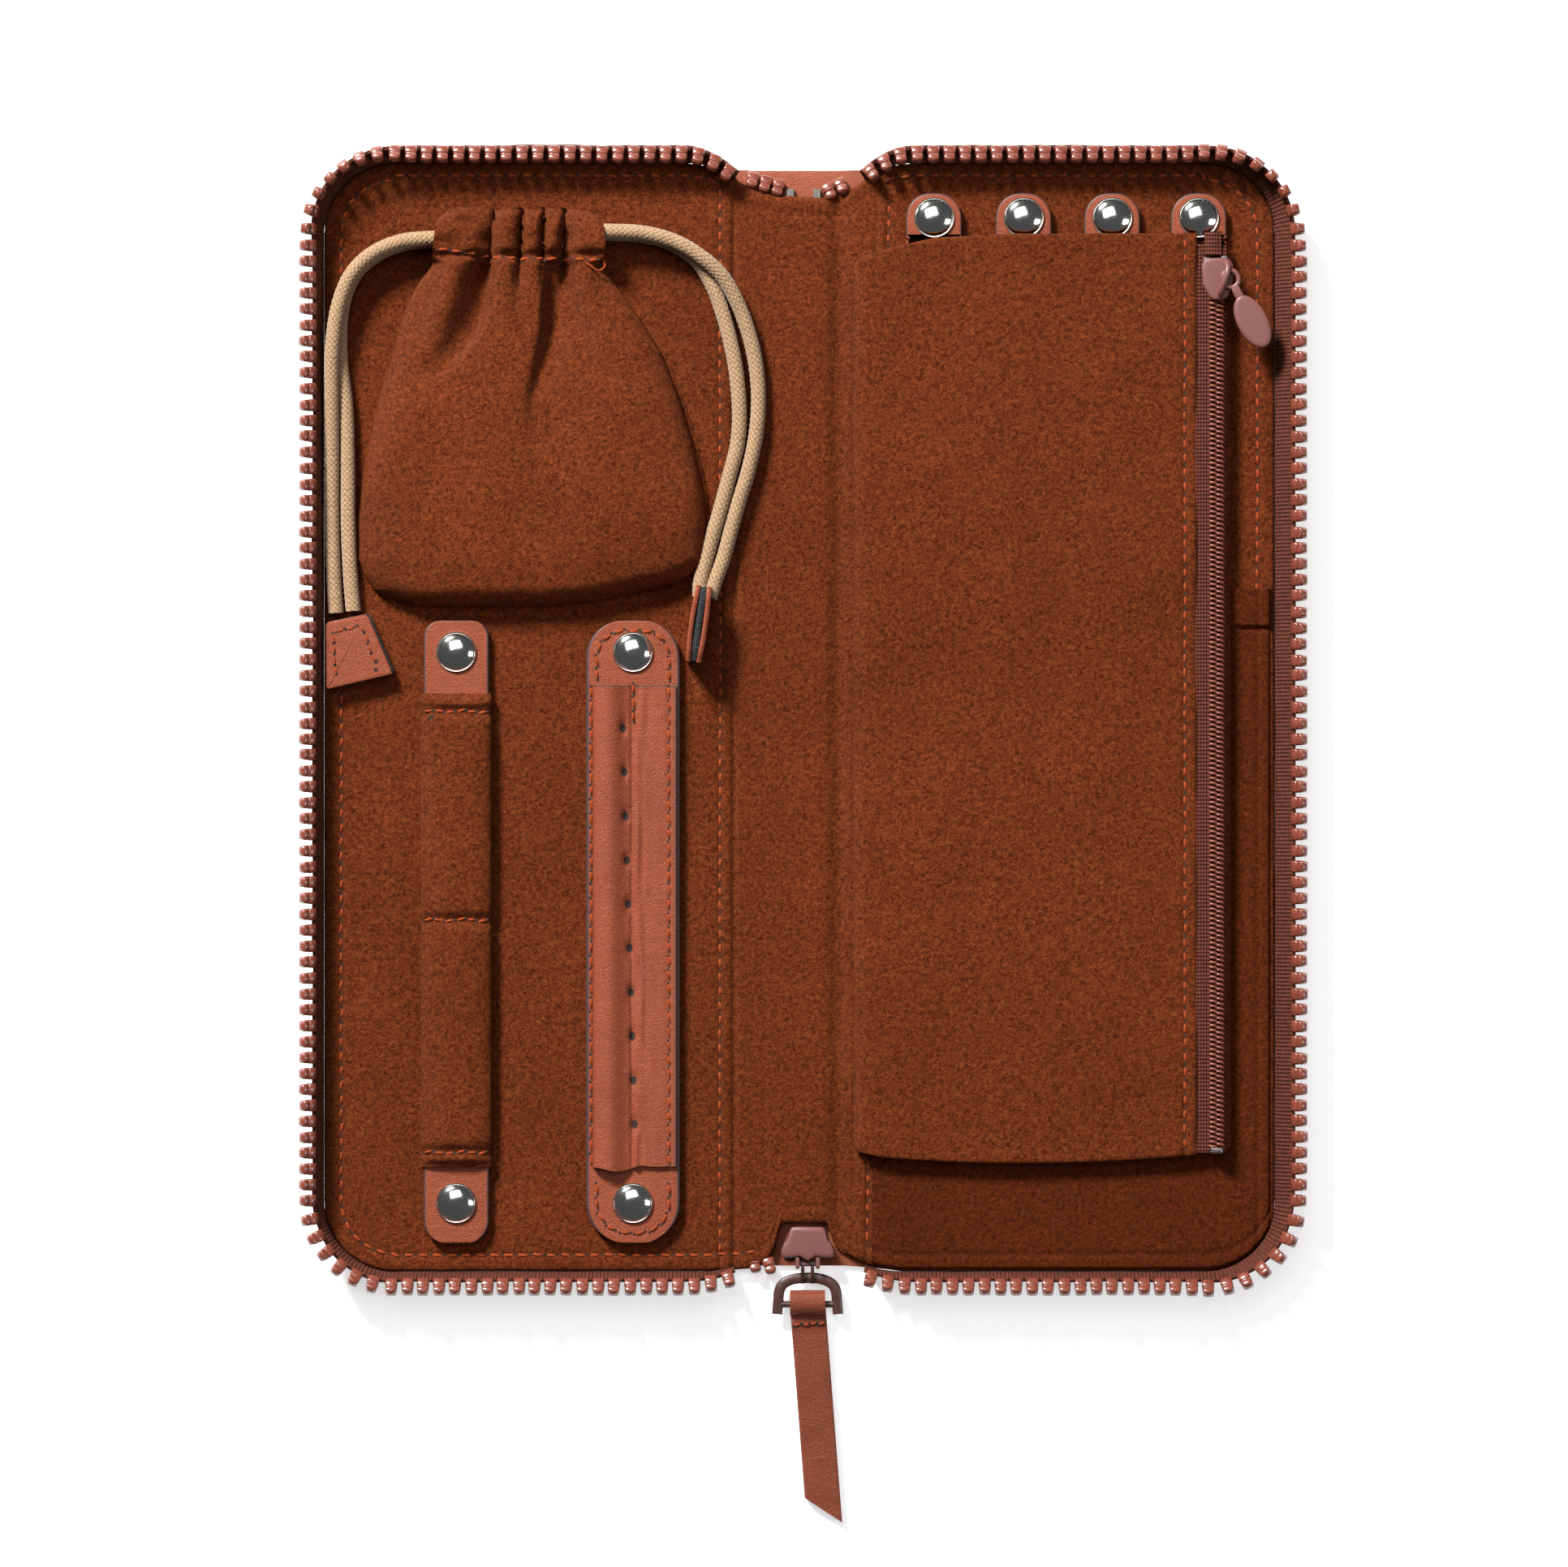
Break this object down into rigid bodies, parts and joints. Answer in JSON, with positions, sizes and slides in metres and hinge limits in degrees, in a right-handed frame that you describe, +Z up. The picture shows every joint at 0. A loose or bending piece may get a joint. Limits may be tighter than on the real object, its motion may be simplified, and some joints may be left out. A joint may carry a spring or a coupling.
{
  "type": "zip-around jewellery organizer",
  "caption": "Open zip-around travel organizer with two padded suede-lined covers, a drawstring pouch, ring and earring bars, snap tabs and a hinged zip pocket page.",
  "frame": {"origin": "middle of the spine's flat underside, which lies on the table", "axes": "+Z up out of the open case, +Y along the spine to the case's top, +X to the cover with the zip pocket page"},
  "size_m": [0.1986, 0.2704, 0.012],
  "materials": {
    "outer_leather": "satin faux leather with a fine grain",
    "strap_leather": "satin faux leather with a fine grain and dark painted edges",
    "suede": "brushed micro-suede with a mottled nap",
    "board": "plain board",
    "foam": "thin foam",
    "zip_plastic": "glossy moulded plastic",
    "coil_nylon": "satin nylon coil",
    "zip_tape": "fine woven tape",
    "slider_paint": "matte mauve-brown paint",
    "dark_metal": "semi-gloss dark brown paint",
    "nickel": "polished nickel plate",
    "stop_metal": "satin crimped metal",
    "felt": "black felt",
    "cord_cotton": "braided cotton with fuzz"
  },
  "bodies": {
    "spine": {"spine_leather": "outer_leather", "spine_board": "board", "spine_lining": "suede", "spine_zip_ends": "zip_plastic", "zip_end_stops": "stop_metal"},
    "left_cover": {"left_shell": "outer_leather", "left_stiffener": "board", "left_foam": "foam", "left_lining": "suede", "left_zip_tape": "zip_tape", "left_zip_teeth": "zip_plastic", "bar_snap_studs": "nickel", "ring_bar_anchor": "strap_leather", "earring_bar_anchor": "strap_leather", "anchor_snaps": "nickel", "pouch_body": "suede", "pouch_collar": "suede", "cord_left_outer": "cord_cotton", "cord_left_inner": "cord_cotton", "cord_right_outer": "cord_cotton", "cord_right_inner": "cord_cotton", "cord_end_left": "strap_leather", "cord_end_right": "strap_leather", "cord_end_cores": "felt"},
    "ring_bar": {"ring_bar_strap": "strap_leather", "ring_bar_core": "foam", "ring_bar_cover": "suede", "ring_bar_snap": "nickel"},
    "earring_bar": {"earring_bar_strap": "strap_leather", "earring_bar_flap": "strap_leather", "earring_bar_snap": "nickel"},
    "right_cover": {"right_shell": "outer_leather", "right_stiffener": "board", "right_foam": "foam", "right_lining": "suede", "right_zip_tape": "zip_tape", "right_zip_teeth": "zip_plastic", "slip_pocket": "suede", "slip_pocket_hem": "suede", "necklace_tab_bases": "strap_leather", "necklace_snap_studs": "nickel"},
    "page_pocket": {"page_back": "suede", "page_front": "suede", "page_zip_tapes": "zip_tape", "page_zip_coils": "coil_nylon", "page_zip_stops": "stop_metal"},
    "page_slider": {"page_slider_body": "slider_paint"},
    "page_pull": {"page_slider_pull": "slider_paint"},
    "main_slider": {"main_slider_body": "slider_paint"},
    "pull_link": {"main_slider_link": "dark_metal"},
    "pull_frame": {"main_pull_frame": "dark_metal"},
    "pull_strap": {"main_pull_strap": "strap_leather"},
    "necklace_tab_1_body": {"necklace_tab_1": "strap_leather", "necklace_snap_1": "nickel"},
    "necklace_tab_2_body": {"necklace_tab_2": "strap_leather", "necklace_snap_2": "nickel"},
    "necklace_tab_3_body": {"necklace_tab_3": "strap_leather", "necklace_snap_3": "nickel"},
    "necklace_tab_4_body": {"necklace_tab_4": "strap_leather", "necklace_snap_4": "nickel"}
  },
  "joints": [
    {"name": "left_cover_fold", "type": "hinge", "parent": "spine", "child": "left_cover", "pos_m": [-0.0095, 0, 0.0026], "axis": [0, 1, 0], "range_deg": [0, 90], "deforming": ["cord_right_outer", "cord_right_inner"]},
    {"name": "right_cover_fold", "type": "hinge", "parent": "spine", "child": "right_cover", "pos_m": [0.0095, 0, 0.0026], "axis": [0, -1, 0], "range_deg": [0, 90]},
    {"name": "ring_bar_lift", "type": "hinge", "parent": "left_cover", "child": "ring_bar", "pos_m": [-0.0674, -0.0906, 0.0053], "axis": [-1, 0, 0], "range_deg": [-80, 0]},
    {"name": "earring_bar_lift", "type": "hinge", "parent": "left_cover", "child": "earring_bar", "pos_m": [-0.0327, -0.0906, 0.0053], "axis": [-1, 0, 0], "range_deg": [-80, 0]},
    {"name": "page_turn", "type": "hinge", "parent": "right_cover", "child": "page_pocket", "pos_m": [0.0115, 0, 0.0048], "axis": [0, 1, 0], "range_deg": [-90, 0]},
    {"name": "necklace_tab_1_lift", "type": "hinge", "parent": "right_cover", "child": "necklace_tab_1_body", "pos_m": [0.0264, 0.0938, 0.0044], "axis": [-1, 0, 0], "range_deg": [-40, 0]},
    {"name": "necklace_tab_2_lift", "type": "hinge", "parent": "right_cover", "child": "necklace_tab_2_body", "pos_m": [0.044, 0.0938, 0.0044], "axis": [-1, 0, 0], "range_deg": [-40, 0]},
    {"name": "necklace_tab_3_lift", "type": "hinge", "parent": "right_cover", "child": "necklace_tab_3_body", "pos_m": [0.0614, 0.0938, 0.0044], "axis": [-1, 0, 0], "range_deg": [-40, 0]},
    {"name": "necklace_tab_4_lift", "type": "hinge", "parent": "right_cover", "child": "necklace_tab_4_body", "pos_m": [0.0784, 0.0938, 0.0044], "axis": [-1, 0, 0], "range_deg": [-40, 0]},
    {"name": "page_slider_travel", "type": "slide", "parent": "page_pocket", "child": "page_slider", "axis": [0, 1, 0], "range_m": [-0.16, 0]},
    {"name": "page_pull_swing", "type": "hinge", "parent": "page_slider", "child": "page_pull", "pos_m": [0.0839, 0.0866, 0.0099], "axis": [0.8904, 0.4551, 0], "range_deg": [-100, 0]},
    {"name": "main_slider_travel", "type": "slide", "parent": "spine", "child": "main_slider", "axis": [0, 1, 0], "range_m": [-0.003, 0]},
    {"name": "pull_link_swing", "type": "hinge", "parent": "main_slider", "child": "pull_link", "pos_m": [0.0016, -0.1075, 0.0037], "axis": [1, 0, 0], "range_deg": [-20, 0]},
    {"name": "pull_frame_swing", "type": "hinge", "parent": "pull_link", "child": "pull_frame", "pos_m": [0.0016, -0.1104, 0.0024], "axis": [1, 0, 0], "range_deg": [-50, 0]},
    {"name": "pull_strap_swing", "type": "hinge", "parent": "pull_frame", "child": "pull_strap", "pos_m": [0.0016, -0.1155, 0.0024], "axis": [1, 0, 0], "range_deg": [-45, 0]}
  ]
}
